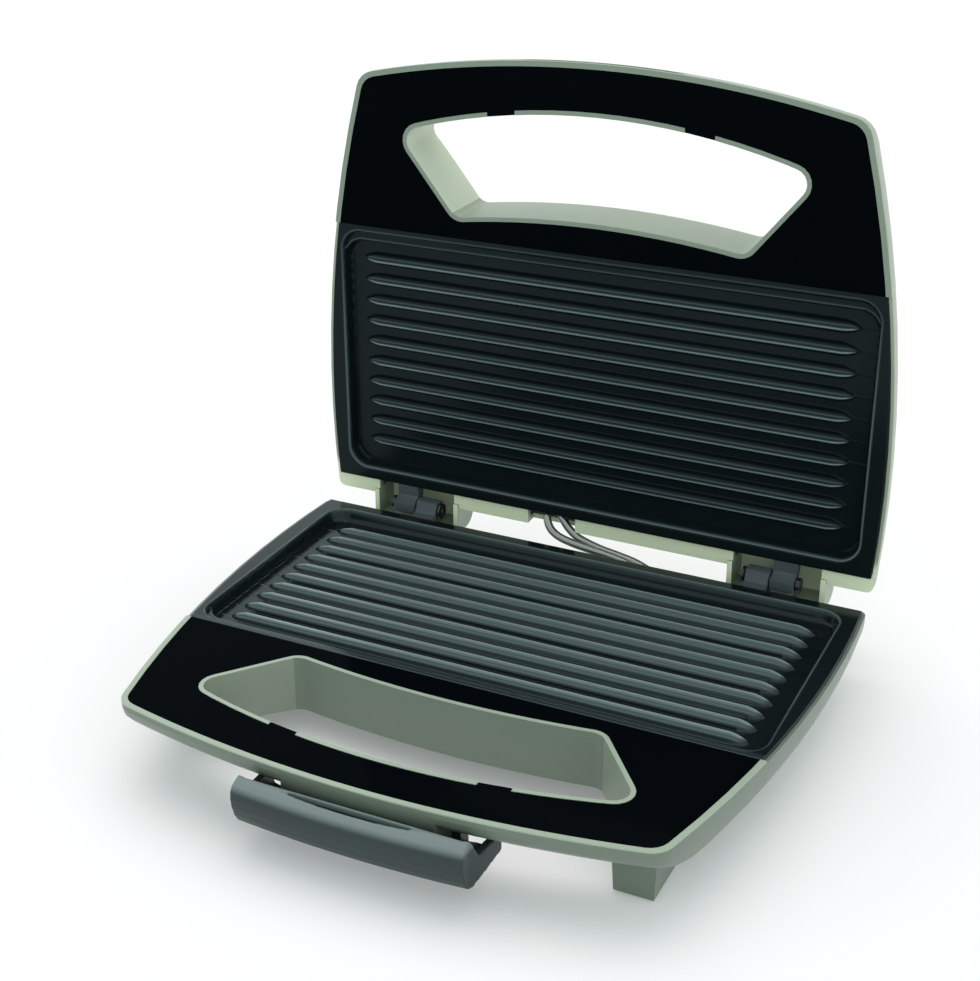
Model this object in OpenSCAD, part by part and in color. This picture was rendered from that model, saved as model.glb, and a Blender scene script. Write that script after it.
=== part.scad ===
/* [Casing outline] */
// Half of the greatest width of the casings
half_w = 127; // [115:0.5:140]
// Distance from the plates' rear edge to the front edge of the rim
body_l = 196.5; // [185:0.5:210]
// Radius of the bowed front edge, seen from above
front_r = 471; // [380:1:700]
// Radius of the bowed sides, seen from above
side_r = 518; // [400:1:800]
// How far in front of the plates' rear edge the casings are widest
widest_y = 40; // [30:1:55]
// Radius of the front corners, seen from above
corner_r = 9; // [6:0.5:14]
// Wall thickness of the plastic casings
wall = 2.2; // [1.8:0.1:2.8]

/* [Casing height] */
// Depth of the base casing below the mating plane
base_d = 24; // [22.5:0.5:30]
// Height of the lid casing above its own rim
lid_d = 26.5; // [24:0.5:32]
// Gap between the closed halves
mate_gap = 1.2; // [0.8:0.1:2]
// Height of the flat band of wall next to the rim
band_h = 2.5; // [1.5:0.5:4]
// How far the base's front shoulder runs back before the surface is flat
base_shoulder = 84; // [60:1:85]
// How far the lid's front shoulder runs back before the surface is flat
lid_shoulder = 45; // [30:1:80]
// How far the side shoulders run in before the surface is flat
shoulder_side = 15; // [10:1:20]
// How far the rear shoulder runs in before the surface is flat
shoulder_rear = 4; // [2:0.5:5]
// Distance that the lid's rear wall stands behind the plates
lid_rear = 6.7; // [6:0.1:7.5]
// Distance that the base's rear wall stands behind the plates
base_rear = 1; // [0.5:0.1:2]

/* [Handle opening] */
// Width of the bridge between the plates and the opening
bridge_w = 13.5; // [11.5:0.5:16]
// Width of the grip in front of the opening
grip_w = 20.7; // [19.5:0.1:24]
// How far the opening's rear corners lie inside the casing's widest point
hole_back_in = 64.2; // [59:0.1:72]
// How far the opening's front corners lie inside the casing's widest point
hole_front_in = 37.7; // [36:0.1:45]
// Radius of the opening's bowed rear side
hole_back_r = 413; // [350:1:600]
// Radius of the opening's bowed front side
hole_front_r = 288; // [260:1:400]
// Corner radius of the opening
hole_corner_r = 6; // [4:0.5:7]
// Thickness of the wall that lines the opening
lining = 1.8; // [1.4:0.1:2.4]
// Distance from the middle to each joining tab of the panel
tab_x = 42; // [30:1:50]
// Width of a joining tab
tab_w = 12; // [8:0.5:14]

/* [Glossy panels] */
// Thickness of the glossy panels
panel_t = 2.4; // [2:0.1:2.8]
// Width of the plastic rim strip around a panel
rim_w = 2.1; // [1.6:0.1:2.6]
// Running clearance between fitted plastic pieces
fit = 0.15; // [0.1:0.05:0.3]

/* [Grill plates] */
// Depth of a plate from its rear edge to the panel
plate_l = 119.5; // [115:0.5:122]
// Thickness of the plate's flange
flange_t = 2.6; // [2:0.1:3]
// How far the flange stays inside the casing's outer face
flange_in = 1.5; // [1:0.1:2]
// Depth of the pocket below the flange
pocket_d = 5.5; // [4.5:0.1:6.5]
// Thickness of the pocket's floor
floor_t = 2.5; // [2.4:0.1:3]
// How far the pocket's sides lie inside the casing's widest point
pocket_side = 9; // [8:0.5:17]
// Margin between the pocket and the plate's rear edge
pocket_rear = 5.8; // [5:0.1:8]
// Margin between the pocket and the plate's front edge
pocket_front = 2.6; // [2:0.1:4]
// Corner radius of the pocket
pocket_r = 9; // [6:0.5:12]
// Width of the shallow drip ledge along the pocket's front side
ledge_w = 4; // [2:0.5:6]
// Depth of the drip ledge
ledge_d = 2.4; // [1.5:0.1:3.5]
// Number of ribs in a pocket
rib_n = 10; // [6:1:11]
// Distance between ribs
rib_pitch = 9.5; // [8:0.1:10]
// Radius of a rib's rounded top
rib_r = 2.6; // [2:0.1:2.6]
// Height of a rib above the pocket's floor
rib_h = 3; // [3:0.1:3.8]
// Gap between a rib's pointed tip and the pocket's side
rib_end = 9.5; // [8:0.5:18]
// Length of a rib's pointed tip
rib_tip = 8; // [4:0.5:12]

/* [Hinges] */
// Distance of the hinge axis behind the plates
hinge_y = 8.9; // [8.5:0.1:9.5]
// Radius of the hinge knuckles
knuckle_r = 4.2; // [3.8:0.1:4.4]
// Radius of the hinge pins
hinge_pin_r = 2; // [1.6:0.1:2.2]
// Radial clearance of the hinge pins and the latch pin
pin_clear = 0.06; // [0.02:0.01:0.1]
// How far the joint between two knuckles lies inside the casing's widest point
hinge_in = 44; // [42:0.5:47]
// Length of a hinge knuckle
knuckle_l = 10.2; // [8:0.1:11]
// Side gap between the knuckles
knuckle_gap = 0.6; // [0.4:0.1:1]
// Side room between a hinge housing's inner side and the base knuckle
housing_in = 9.1; // [7.5:0.1:10.5]
// Side room between the lid knuckle and a hinge housing's outer side
housing_out = 12.3; // [9:0.1:13.5]
// Distance of a hinge housing's rear face behind the plates
housing_y = 19; // [17:0.5:21]

/* [Latch] */
// How far the latch pivot lies behind the rim's front edge
latch_in = 14.5; // [13.5:0.5:15.5]
// Depth of the latch pivot below the mating plane
latch_z = 6; // [5.5:0.1:6.5]
// Half length of the latch at its front
latch_half = 45; // [36:0.5:50]
// Thickness of the latch's shell
latch_t = 2.4; // [2:0.1:3]
// Angle between the hanging latch and the closed latch
latch_swing = 36; // [34:1:37]
// Radius of the latch pin
latch_pin_r = 1.25; // [1:0.05:1.5]
// Half width of the block that carries the latch
mount_half = 30; // [24:0.5:32]
// Width of each latch arm
arm_w = 3.5; // [3:0.1:5]

/* [Feet] */
// Height of the mating plane above the table
stand_h = 34; // [32:0.5:40]
// How far the feet's centres lie inside the casing's widest point
foot_in = 35.8; // [33:0.1:41]
// Distance from the rim's front edge back to the front right foot's centre
foot_right_in = 39; // [36.5:0.5:46]
// Distance from the rim's front edge back to the front left foot's centre
foot_left_in = 74.5; // [66:0.5:80]
// Distance from the plates' rear edge to a rear foot's centre
foot_rear = 24; // [20:1:40]
// Width of a foot
foot_w = 17.2; // [14:0.1:20]
// Length of a foot
foot_l = 23; // [18:0.5:26]
// Thickness of a rubber pad
pad_t = 2.4; // [2:0.1:3]
// How far a pad stands out of its foot
pad_out = 0.8; // [0.6:0.1:1.2]

/* [Heating and wiring] */
// Radius of the heating elements
element_r = 3.25; // [3:0.05:3.5]
// How far the centres of an element's bends lie inside the pocket's side
element_in = 44; // [36:1:58]
// Distance between the long runs of an element
element_run = 56; // [40:1:64]
// Thickness of the reflector sheet
sheet_t = 0.6; // [0.5:0.1:0.8]
// Radius of a sheathed lead
lead_r = 1.4; // [1.2:0.1:1.6]
// Radius of the cord inlet's bore
inlet_r = 3.6; // [3:0.1:4]
// Distance from the middle to the cord inlet
inlet_x = 52; // [40:1:58]
// Radius of an indicator lens
lens_r = 4; // [3:0.1:5]
// Distance from the middle to an indicator lens
lens_x = 12; // [9:1:20]
/* [Hidden] */
$fn = 64;
sage = [0.66, 0.68, 0.55];
gloss_black = [0.03, 0.03, 0.035];
charcoal = [0.13, 0.15, 0.155];
latch_grey = [0.33, 0.36, 0.36];
steel = [0.72, 0.73, 0.74];
ceramic = [0.9, 0.88, 0.82];
rubber_grey = [0.2, 0.2, 0.2];
lens_red = [0.75, 0.1, 0.08];
hinge_z = mate_gap / 2;
gap = 0.3;
past = 1;
hole_back = plate_l + bridge_w;
hole_front = body_l - grip_w;
hole_back_w = half_w - hole_back_in;
hole_front_w = half_w - hole_front_in;
pocket_w = half_w - pocket_side;
rib_half = pocket_w - rib_end;
knuckle_x1 = half_w - hinge_in;
knuckle_x0 = knuckle_x1 - knuckle_gap / 2 - knuckle_l;
knuckle_x2 = knuckle_x1 + knuckle_gap / 2 + knuckle_l;
housing_x0 = knuckle_x0 - housing_in;
housing_x1 = knuckle_x2 + housing_out;
housing_top = 16;
housing_r = 7;
latch_y = body_l - latch_in;
foot_x = half_w - foot_in;
feet = [[foot_x, body_l - foot_right_in], [-foot_x, body_l - foot_left_in],
    [foot_x, foot_rear], [-foot_x, foot_rear]];
element_x = pocket_w - element_in;
element_leg = 16;
element_post = 10;
post_r = 1.5;
rear_corner_r = 3;
side_c = [half_w - side_r, -widest_y];
front_c = [0, front_r - body_l];
tub_t = 1.5;
inlet_z = base_d / 2 + 2.2;
tub_z = pocket_d + floor_t;
screw_r = 1.4;
screw_head_r = 3;
boss_r = 3.8;
boss_top = 9.2;
screw_seat = 10.7;
screw_head_h = 1.9;
stud_r = 3.2;
stud_skin = 1.7;
reflector_z = tub_z + 2 * element_r + 0.7;
reflector_w = pocket_w - 5;
reflector_y0 = pocket_rear + 2.2;
reflector_y1 = plate_l - pocket_front - 4.9;
reflector_r = 6;
tray_wall = 4.5;
tip_r = 0.4;
thermostat_r = 8;
lens_y = 108;
lens_lip = 1.5;
lens_skin = 1.4;
lens_out = 1;
vents = [-84:14:84];
vent_y = 12;
vent_r = 2;
terminal = [24, 9, 5.2];
terminal_y = 26;
lead_block = [12, 4, 7];
lid_block = [14, 6, 9.9];
lamp_plate = [14, 12, 1.8];
lamp_z = 4.3;
lead_window = [[26, -8, -11.6], [14.4, 14, 12]];
reflector_window = [[-24, -30], [38, 30]];
plate_mid = (plate_l - pocket_front + pocket_rear) / 2;
element_z = tub_z + element_r + 0.1;

// The latch outline in steps forward of and above its pivot, from its rear lip round to its heel
lip_y = 16.3;
latch_profile = [[lip_y, 0.6], [19, 0], [21.2, -1], [22.4, -3], [22.7, -5.5], [22.3, -9], [21, -13.2],
    [19.4, -16.2], [17.4, -18], [15, -18.6], [8, -17.6], [-3.7, -15.4], [-3.7, -8], [11, -8]];
latch_hollow = [[16.9, 0.1 - latch_t], [18.6, -0.6 - latch_t], [19.9, -4.2], [20.2, -5.6], [20, -8.5],
    [18.9, -12], [17, -15.3], [14.5, -16], [9, -13.5], [9, 0.1 - latch_t]];
latch_slot_w = 30;
latch_slot_y = 20.2;
lip_t = 1.3;
latch_slot_deep = latch_slot_y - lip_y - lip_t;
latch_slot_r = (pow(latch_slot_w, 2) + pow(latch_slot_deep, 2)) / (2 * latch_slot_deep);
latch_inner_r = 15;
latch_front_gap = 0.5;
mount_gap = 0.6;
arm_gap = 0.9;
arm_x = mount_half + arm_gap + arm_w / 2;

// Room behind and above the latch's end walls, which the front of the casing fills between hanging and closed
latch_room = [[16.4, 0.7], [12.5, -4.8], [9, -7.3], [5.8, -7.9], [3.3, -8], [0, -8.4],
    [-3.9, -9.8], [-9, -11.5], [-9, 4], [16.4, 4]];
catch_z0 = 2.6;
catch_z1 = 5.4;
catch_deep = 1.5;
latch_front = norm([front_c[1] + latch_y + 22.7, latch_half]) - front_c[1];
stand_y = (latch_front - (hinge_y + lid_d + hinge_z)) / 2;

// Route of the live lead, from inside the base to the lid's terminal, with the lid open
live_route = [[34, -6, -12], [33, -1.5, -9.5], [30, 2.6, -7.6], [25, 4.4, -6.2], [18, 5.6, -5],
    [10, 6.4, -4], [2, 7.1, -3], [-6, 7.8, -1.6], [-13, 8.6, 0.4], [-17.4, 9.6, 3], [-19.6, 11.2, 6.2],
    [-20.4, 13.4, 9], [-20.6, 16.4, 11], [-20.6, 20, 12]];
// Route of the neutral lead, beside it
neutral_route = [[38.5, -6, -12], [37.6, -1, -9.6], [35, 3.6, -8.2], [30, 6.4, -7], [23, 8.2, -6],
    [15, 9.2, -5], [7, 9.9, -3.8], [0, 10.4, -2], [-5.6, 10.9, 0.4], [-9.8, 11.5, 3.4], [-12.6, 12.4, 6.6],
    [-14.4, 14, 9.2], [-15.4, 16.6, 11], [-16, 20, 12]];

// Where two circles cross, on the side away from the object's middle
function meet(a, ra, b, rb) =
    let (d = norm(b - a), u = (b - a) / d, t = (d * d + ra * ra - rb * rb) / (2 * d))
    a + u * t + [-u[1], u[0]] * sqrt(ra * ra - t * t);
function angle_of(c, p) = atan2(p[1] - c[1], p[0] - c[0]);
function arc(c, r, a0, a1, n, first = 0) =
    [for (i = [first:n]) c + r * [cos(a0 + (a1 - a0) * i / n), sin(a0 + (a1 - a0) * i / n)]];
function mirrored(half) =
    concat(half, [for (i = [len(half) - 1:-1:1]) [-half[i][0], half[i][1]]]);

// Plan outline with its front, sides and rear moved in by df, ds and dr
function half_plan(df, ds, rear_y, rc) =
    let (r1 = front_r - df, r2 = side_r - ds, cf = meet(front_c, r1 - rc, side_c, r2 - rc),
        a1 = angle_of(front_c, cf), a2 = angle_of(side_c, cf), rb = rear_corner_r,
        cb = [side_c[0] + sqrt(pow(r2 - rb, 2) - pow(rear_y - rb - side_c[1], 2)), rear_y - rb],
        a3 = angle_of(side_c, cb))
    concat(arc(front_c, r1, -90, a1, 12), arc(cf, rc, a1, a2, 4, 1), arc(side_c, r2, a2, a3, 10, 1),
        arc(cb, rb, a3, 90, 3, 1));
function plan(inset, rear_y) = mirrored(half_plan(inset, inset, rear_y - inset, max(corner_r - inset, 1)));

// A closed outline moved out by g, corner by corner
function grow(pts, g) =
    let (n = len(pts))
    [for (i = [0:n - 1])
        let (a = pts[i] - pts[(i + n - 1) % n], b = pts[(i + 1) % n] - pts[i],
            na = [a[1], -a[0]] / norm(a), nb = [b[1], -b[0]] / norm(b))
        pts[i] + g * (na + nb) / (1 + na * nb)];
// Corner p of a polygon, rounded with radius r between the directions of a and b
function rounded(a, p, b, r, n) =
    let (u = (a - p) / norm(a - p), v = (b - p) / norm(b - p), half = acos(u * v) / 2,
        c = p + (u + v) / norm(u + v) * r / sin(half), s = p + u * r / tan(half), e = p + v * r / tan(half),
        a0 = angle_of(c, s), turn = angle_of(c, e) - a0,
        da = turn > 180 ? turn - 360 : turn < -180 ? turn + 360 : turn)
    arc(c, r, a0, a0 + da, n);
function bow(x, y0, r) = -y0 + r - sqrt(r * r - x * x);
function bow_pts(y0, r, x0, x1, n) = [for (i = [0:n]) let (x = x0 + (x1 - x0) * i / n) [x, bow(x, y0, r)]];

// Plan of the handle opening
hole_f = [hole_front_w, bow(hole_front_w, hole_front, hole_front_r)];
hole_b = [hole_back_w, bow(hole_back_w, hole_back, hole_back_r)];
near_f = hole_front_w - 2.2 * hole_corner_r;
near_b = hole_back_w - 1.4 * hole_corner_r;
hole_half = concat(bow_pts(hole_front, hole_front_r, 0, near_f, 8),
    rounded([near_f, bow(near_f, hole_front, hole_front_r)], hole_f, hole_b, hole_corner_r, 6),
    rounded(hole_f, hole_b, [near_b, bow(near_b, hole_back, hole_back_r)], hole_corner_r, 6),
    bow_pts(hole_back, hole_back_r, near_b, 0, 6));
hole_plan = concat(hole_half, [for (i = [len(hole_half) - 2:-1:1]) [-hole_half[i][0], hole_half[i][1]]]);

// One ring of a casing's surface, t degrees round its shoulder and w inside the outer face
function casing_ring(depth, rear_y, front, w, t) =
    let (k = 1 - cos(t), z = -band_h - (depth - band_h - w) * sin(t))
    [for (p = mirrored(half_plan(front * k + w, shoulder_side * k + w,
        rear_y - shoulder_rear * k - w, corner_r - w / 2 + 0.3 * shoulder_side * k))) [p[0], p[1], z]];
module loft(rings) {
    n = len(rings[0]);
    m = len(rings);
    sides = [for (k = [0:m - 2]) for (i = [0:n - 1]) let (j = (i + 1) % n)
        each [[k * n + i, (k + 1) * n + i, (k + 1) * n + j], [k * n + i, (k + 1) * n + j, k * n + j]]];
    polyhedron([for (r = rings) each r],
        concat([[for (i = [0:n - 1]) i]], sides, [[for (i = [n - 1:-1:0]) (m - 1) * n + i]]));
}
module casing_solid(depth, rear_y, front, w, top) {
    steps = [90, 78, 66, 55, 45, 35, 25, 16, 8, 0];
    wall_top = [for (p = casing_ring(depth, rear_y, front, w, 0)) [p[0], p[1], top]];
    loft(concat([for (t = steps) casing_ring(depth, rear_y, front, w, t)], [wall_top]));
}

// Moves a piece from the hinge frame to the standing object's frame
module stand() {
    translate([0, stand_y, stand_h]) children();
}
// Takes a half that is drawn like the base and puts it on the open lid
module on_lid() {
    stand() translate([0, hinge_y, hinge_z]) rotate([-90, 0, 0]) translate([0, -hinge_y, -hinge_z])
        translate([0, 0, mate_gap]) mirror([0, 0, 1]) children();
}
module slab(z0, z1) {
    translate([0, 0, z0]) linear_extrude(z1 - z0) children();
}
module along_x(x0, x1) {
    translate([x0, 0, 0]) rotate([90, 0, 90]) linear_extrude(x1 - x0) children();
}
module rod_x(x0, x1, r, y, z) {
    translate([x0, y, z]) rotate([0, 90, 0]) cylinder(h = x1 - x0, r = r);
}
module round_rect(x, y0, y1, r) {
    translate([-x, y0 + r]) square([2 * x, y1 - y0 - 2 * r]);
    translate([r - x, y0]) square([2 * x - 2 * r, y1 - y0]);
    for (sx = [-1, 1], y = [y0 + r, y1 - r]) translate([sx * (x - r), y]) circle(r);
}
module two_sides() {
    children();
    mirror([1, 0, 0]) children();
}
module behind_panel() {
    translate([-200, -plate_l]) square([400, 200]);
}
module behind_plate() {
    translate([-200, fit]) square([400, 50]);
}
module before_plate() {
    translate([-200, -plate_l - fit - 200]) square([400, 200]);
}
module tab_strips(extra) {
    for (s = [-1, 1]) translate([s * tab_x - tab_w / 2 - extra, -hole_front - 10])
        square([tab_w + 2 * extra, 25]);
}

// Plastic shell shared by both halves: bowl, opening, rim, panel ledge and screw bosses
panel_boss = [[hole_front_w - 29.3, -hole_front - 5.2], [hole_front_w + 14.7, -hole_front + 24.8]];
module casing_shell(depth, rear_y, front) {
    difference() {
        union() {
            difference() {
                union() {
                    casing_solid(depth, rear_y, front, 0, 0);
                    children(0);
                }
                casing_solid(depth, rear_y, front, wall, past);
            }
            intersection() {
                casing_solid(depth, rear_y, front, 0, 0);
                union() {
                    slab(-depth, -panel_t) polygon(grow(hole_plan, lining + 1.4));
                    slab(-depth, 0) polygon(grow(hole_plan, lining));
                    slab(-panel_t - 2.4, -panel_t) intersection() {
                        difference() {
                            polygon(plan(0.5, rear_y));
                            polygon(plan(wall + 2.4, rear_y));
                        }
                        before_plate();
                    }
                    slab(-flange_t - 1.4, 0) intersection() {
                        polygon(plan(0.5, rear_y));
                        behind_plate();
                    }
                    for (s = [-1, 1], p = panel_boss) translate([s * p[0], p[1], -depth])
                        cylinder(h = depth - boss_top, r = boss_r);
                }
            }
        }
        slab(-depth - past, past) polygon(hole_plan);
        slab(-panel_t - fit, past) intersection() {
            polygon(grow(hole_plan, lining + fit));
            tab_strips(fit);
        }
        slab(-flange_t, past) intersection() {
            polygon(plan(flange_in - fit, flange_in));
            behind_panel();
        }
        slab(-1, past) behind_panel();
        for (s = [-1, 1], p = panel_boss) translate([s * p[0], p[1], 0]) {
            translate([0, 0, -depth - past]) cylinder(h = depth, r = screw_r + 0.2);
            translate([0, 0, -depth - past]) cylinder(h = depth + past - screw_seat, r = screw_head_r + 0.3);
        }
    }
}

// Base casing, with its feet, the latch block and the notches for hinges and leads
foot_z = stand_h - pad_out;
module foot() {
    draft = 1.2;
    intersection() {
        rotate([90, 0, 90]) translate([0, 0, -foot_w]) linear_extrude(2 * foot_w)
            polygon([[-foot_l / 2 + draft, -foot_z], [foot_l / 2 - draft, -foot_z],
                [foot_l / 2, -band_h - 4], [-foot_l / 2, -band_h - 4]]);
        rotate([90, 0, 0]) translate([0, 0, -foot_l]) linear_extrude(2 * foot_l)
            polygon([[-foot_w / 2 + draft, -foot_z], [foot_w / 2 - draft, -foot_z],
                [foot_w / 2, -band_h - 4], [-foot_w / 2, -band_h - 4]]);
    }
}
pad_in = 4;
pad_r = 2;
module pad_plan(extra) {
    round_rect(foot_w / 2 - pad_in + extra, pad_in - foot_l / 2 - extra, foot_l / 2 - pad_in + extra, pad_r);
}
module foot_recess() {
    seat = 0.05;
    translate([0, 0, -foot_z - past]) linear_extrude(past + pad_t - pad_out + seat) pad_plan(seat);
}
// Block in the front wall that carries the latch's pin, round it as far out as the latch's hollow lets it
module latch_block() {
    intersection() {
        rod_x(-mount_half, mount_half, latch_inner_r - mount_gap, -latch_y, -latch_z);
        casing_front(panel_t + 0.5);
    }
}
module casing_front(below) {
    slab(-2 * base_d, -below) intersection() {
        polygon(plan(0.5, base_rear));
        translate([-half_w, -latch_y - 30]) square([2 * half_w, 34]);
    }
}
module latch_slots() {
    for (s = [-1, 1]) intersection() {
        rod_x(s * arm_x - arm_w / 2 - mount_gap, s * arm_x + arm_w / 2 + mount_gap,
            latch_inner_r + 2, -latch_y, -latch_z);
        translate([-half_w, -latch_y - 30, -base_d - past]) cube([2 * half_w, 60, base_d - latch_z - 1]);
    }
}
module base_casing() {
    color(sage) stand() difference() {
        union() {
            casing_shell(base_d, base_rear, base_shoulder)
                for (f = feet) translate([f[0], -f[1], 0]) foot();
            latch_block();
            intersection() {
                casing_solid(base_d, base_rear, base_shoulder, 0, 0);
                translate([inlet_x, base_rear, -inlet_z]) rotate([90, 0, 0]) cylinder(h = 4, r = inlet_r + 3.4);
            }
        }
        for (f = feet) translate([f[0], -f[1], 0]) foot_recess();
        rod_x(-mount_half - past, mount_half + past, latch_pin_r + 0.02, -latch_y, -latch_z);
        latch_slots();
        two_sides() translate([knuckle_x0 - 0.8, -4.6, -5.5 - 0.6])
            cube([knuckle_x2 - knuckle_x0 + 1.6, 10, 10]);
        translate(lead_window[0]) cube(lead_window[1]);
        translate([inlet_x, 20, -inlet_z]) rotate([90, 0, 0]) cylinder(h = 40, r = inlet_r + 2);
    }
}
module foot_pads() {
    color(rubber_grey) stand() for (f = feet) translate([f[0], -f[1], -stand_h]) linear_extrude(pad_t) pad_plan(0);
}
module cord_inlet() {
    color(rubber_grey) stand() translate([inlet_x, 0, -inlet_z]) rotate([-90, 0, 0]) difference() {
        union() {
            translate([0, 0, -5.6]) cylinder(h = 2.3, r = inlet_r + 2.4);
            translate([0, 0, -8.6]) cylinder(h = 12, r = inlet_r + 1.9);
            translate([0, 0, base_rear + 0.1]) cylinder(h = 3, r1 = inlet_r + 3.4, r2 = inlet_r + 2.6);
        }
        translate([0, 0, -20]) cylinder(h = 40, r = inlet_r);
    }
}

// Glossy panel, with its joining tabs and screw studs
module panel(rear_y) {
    difference() {
        union() {
            slab(-panel_t, 0) intersection() {
                polygon(plan(rim_w + fit, rear_y));
                before_plate();
            }
            for (s = [-1, 1], p = panel_boss) translate([s * p[0], p[1], -boss_top + 0.1])
                cylinder(h = boss_top - panel_t + 1, r = stud_r);
        }
        slab(-panel_t - past, past) difference() {
            polygon(grow(hole_plan, lining + fit));
            tab_strips(0);
        }
        slab(-panel_t - past, past) polygon(hole_plan);
        for (s = [-1, 1], p = panel_boss) translate([s * p[0], p[1], -boss_top - past])
            cylinder(h = boss_top + past - stud_skin, r = screw_r + 0.05);
    }
}
// A cross-head screw with its head's outer face at -z0 and its tip at -z1
module screw(z0, z1) {
    cross_w = 0.7;
    translate([0, 0, -z0]) {
        difference() {
            cylinder(h = screw_head_h, r = screw_head_r);
            for (a = [0, 90]) rotate(a) translate([-1.6, -cross_w / 2, -past]) cube([3.2, cross_w, past + 0.8]);
        }
        translate([0, 0, screw_head_h - 0.4]) cylinder(h = z0 - z1 - screw_head_h + 0.4, r = screw_r);
    }
}
module panel_screws() {
    for (s = [-1, 1], p = panel_boss) translate([s * p[0], p[1], 0])
        screw(screw_seat + screw_head_h + 0.1, stud_skin + 1.2);
}
module base_panel() {
    color(gloss_black) stand() panel(base_rear);
}
module base_panel_screws() {
    color(steel) stand() panel_screws();
}

// Ribbed grill plate: flange, pocket with a drip ledge, ribs, fixing bosses and hinge lugs
plate_boss = [[pocket_w - 10, -pocket_rear - 7.2], [pocket_w - 10, -plate_l + 14.5]];
module rib() {
    translate([0, 0, -pocket_d + rib_h - rib_r]) rotate([0, 90, 0]) rotate_extrude()
        polygon([[0, -rib_half], [tip_r, -rib_half], [rib_r, -rib_half + rib_tip], [rib_r, rib_half - rib_tip],
            [tip_r, rib_half], [0, rib_half]]);
}
module lug(x0, x1) {
    difference() {
        union() {
            rod_x(x0, x1, knuckle_r, hinge_y, hinge_z);
            along_x(x0, x1) polygon([[-4, -5.5], [-4, 0], [hinge_y, 0], [hinge_y, hinge_z - knuckle_r], [4, -5.5]]);
        }
        rod_x(x0 - past, x1 + past, hinge_pin_r + pin_clear, hinge_y, hinge_z);
    }
}
module plate(x0, x1) {
    pocket_y0 = -plate_l + pocket_front;
    difference() {
        union() {
            slab(-flange_t, 0) intersection() {
                polygon(plan(flange_in, flange_in));
                behind_panel();
            }
            slab(-tub_z, -1) round_rect(pocket_w + tub_t, pocket_y0 - tub_t, -pocket_rear + tub_t, pocket_r + tub_t);
            for (s = [-1, 1], p = plate_boss) translate([s * p[0], p[1], -reflector_z])
                cylinder(h = reflector_z - 4, r = boss_r);
        }
        slab(-pocket_d, past) round_rect(pocket_w, pocket_y0 + ledge_w, -pocket_rear, pocket_r);
        slab(-ledge_d, past) round_rect(pocket_w, pocket_y0, -pocket_rear, pocket_r);
        for (s = [-1, 1], p = plate_boss) translate([s * p[0], p[1], -reflector_z - past])
            cylinder(h = reflector_z + past - tub_z + 0.8, r = screw_r + 0.05);
    }
    for (i = [0:rib_n - 1]) translate([0, -plate_mid + (i - (rib_n - 1) / 2) * rib_pitch, 0]) rib();
    two_sides() lug(x0, x1);
}
module base_plate() {
    color(charcoal) stand() plate(knuckle_x0, knuckle_x1 - knuckle_gap / 2);
}

// Tubular heating element: two long runs, one bend and the two terminal posts
module element() {
    r = element_run / 2;
    translate([0, -plate_mid, -element_z]) {
        for (s = [-1, 1]) {
            rod_x(-element_x - element_leg, element_x, element_r, s * r, 0);
            rod_x(-element_x - element_leg - element_post, -element_x - element_leg + 1, post_r, s * r, 0);
            rod_x(-element_x - element_leg - 2, -element_x - element_leg + 0.5, element_r - 0.6, s * r, 0);
        }
        translate([element_x, 0, 0]) rotate(-90) rotate_extrude(angle = 180) translate([r, 0]) circle(element_r);
    }
}
module base_element() {
    color(steel) stand() element();
}

// Folded reflector tray under the element
module reflector() {
    difference() {
        slab(-reflector_z - sheet_t, -reflector_z + tray_wall)
            round_rect(reflector_w, -reflector_y1, -reflector_y0, reflector_r);
        slab(-reflector_z, 0) round_rect(reflector_w - sheet_t, -reflector_y1 + sheet_t, -reflector_y0 - sheet_t,
            reflector_r - sheet_t);
        translate([0, 0, -reflector_z - past]) linear_extrude(sheet_t + 2 * past) {
            for (s = [-1, 1], p = plate_boss) translate([s * p[0], p[1]]) circle(screw_r + 0.2);
            translate([0, -plate_mid]) circle(thermostat_r + 1.5);
            for (s = [-1, 1]) translate([-element_x - element_leg - 8, -plate_mid + s * element_run / 2])
                circle(2 * post_r);
            for (x = vents, s = [-1, 1]) translate([x, -plate_mid + s * vent_y]) circle(vent_r);
        }
    }
}
module base_reflector() {
    color(steel) stand() difference() {
        reflector();
        translate([0, 0, -reflector_z - past]) linear_extrude(2 * tray_wall)
            translate([inlet_x, 0] + reflector_window[0]) square(reflector_window[1]);
    }
}
module plate_screws() {
    for (s = [-1, 1], p = plate_boss) translate([s * p[0], p[1], 0])
        screw(reflector_z + sheet_t + screw_head_h, tub_z + 1.7);
}
module base_plate_screws() {
    color(steel) stand() plate_screws();
}

// Control parts under the base plate
module thermostat() {
    color(ceramic) stand() translate([0, -plate_mid, 0]) {
        translate([0, 0, -tub_z - 5.6]) cylinder(h = 5.5, r = thermostat_r);
        translate([0, 0, -tub_z - 7.8]) cylinder(h = 3, r = thermostat_r - 2.5);
        for (s = [-1, 1]) translate([s * 4 - 1.5, -0.4, -tub_z - 12]) cube([3, 0.8, 6]);
    }
}
module thermal_fuse() {
    color(ceramic) stand() {
        rod_x(26, 38, 2, -plate_mid, -tub_z - 2.1);
        rod_x(20, 44, 0.6, -plate_mid, -tub_z - 2.1);
    }
}
module terminal_block() {
    color(ceramic) stand() translate([inlet_x - terminal[0] / 2, -terminal_y, -base_d + wall + 0.1]) difference() {
        cube(terminal);
        for (i = [1, 3, 5]) translate([terminal[0] * i / 6, terminal[1] / 2, 1.5]) {
            cylinder(h = terminal[2], r = 1.5);
            rotate([90, 0, 0]) translate([0, 1, -terminal[1]]) cylinder(h = 2 * terminal[1], r = 1.1);
        }
    }
}

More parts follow.
